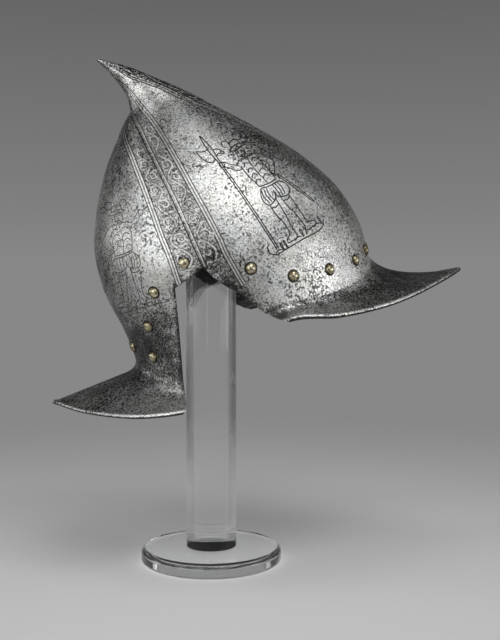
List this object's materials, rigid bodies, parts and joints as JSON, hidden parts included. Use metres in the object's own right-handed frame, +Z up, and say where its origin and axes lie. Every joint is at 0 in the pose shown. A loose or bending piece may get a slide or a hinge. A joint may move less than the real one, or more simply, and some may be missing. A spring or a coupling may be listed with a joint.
{
  "type": "morion helmet on display stand",
  "caption": "Tall open steel morion with a swept-back stalk, pointed front and rear brims, arched ear openings and domed brass rivets, carried on a clear post and disc.",
  "frame": {"origin": "centre of the underside of the stand's disc, on the axis of the post", "axes": "+Z up along the post, +X the way the helmet faces, +Y the wearer's left"},
  "size_m": [0.3415, 0.2072, 0.4091],
  "materials": {
    "steel": "mottled old steel with an etched surface",
    "brass": "dull polish",
    "acrylic": "clear, polished"
  },
  "bodies": {
    "root": {"helmet_shell": "steel", "rivet_front": "brass", "rivet_left_1": "brass", "rivet_left_2": "brass", "rivet_left_3": "brass", "rivet_left_4": "brass", "rivet_left_5": "brass", "rivet_left_6": "brass", "rivet_left_7": "brass", "rivet_left_8": "brass", "rivet_left_9": "brass", "rivet_left_10": "brass", "rivet_right_1": "brass", "rivet_right_2": "brass", "rivet_right_3": "brass", "rivet_right_4": "brass", "rivet_right_5": "brass", "rivet_right_6": "brass", "rivet_right_7": "brass", "rivet_right_8": "brass", "rivet_right_9": "brass", "rivet_right_10": "brass", "stand_post": "acrylic", "stand_base": "acrylic"}
  },
  "joints": []
}
